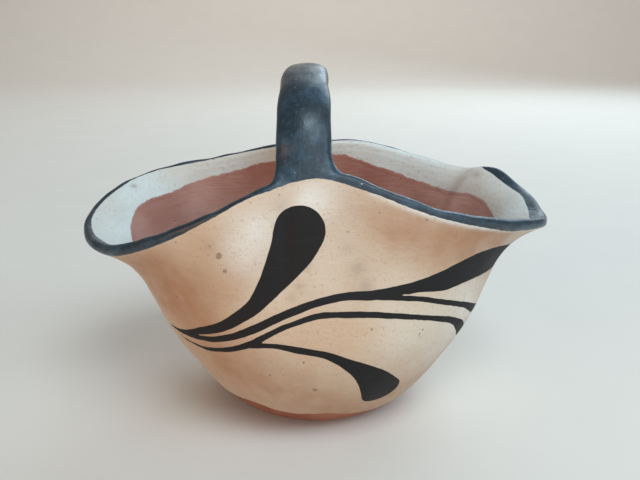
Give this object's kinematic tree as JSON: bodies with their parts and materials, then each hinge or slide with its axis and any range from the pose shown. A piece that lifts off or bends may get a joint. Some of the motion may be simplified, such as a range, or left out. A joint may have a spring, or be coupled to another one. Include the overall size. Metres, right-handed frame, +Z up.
{
  "type": "pottery basket",
  "caption": "Hand-built clay basket: a round bowl drawn out into a pouring spout at each end, with a strap handle arched over the mouth.",
  "frame": {"origin": "middle of the flat foot, on the plane the basket stands on", "axes": "+Z up; +X along the long axis, towards the basket's right spout; -Y towards the painted front"},
  "size_m": [0.1544, 0.0985, 0.113],
  "materials": {
    "red_clay": "unglazed fired red clay, wiped smooth, matt",
    "cream_slip": "cream slip rubbed to a soft satin",
    "black_paint": "black slip paint, burnished, satin"
  },
  "bodies": {
    "root": {"base_pat": "red_clay", "wall_coil_1": "red_clay", "wall_coil_2": "red_clay", "wall_coil_3": "red_clay", "wall_coil_4": "red_clay", "wall_coil_5": "red_clay", "wall_coil_6": "red_clay", "rim_coil": "black_paint", "handle_strap": "black_paint", "handle_root_front": "black_paint", "handle_root_back": "black_paint", "outer_slip": "cream_slip", "inner_rim_slip": "cream_slip"}
  },
  "joints": []
}
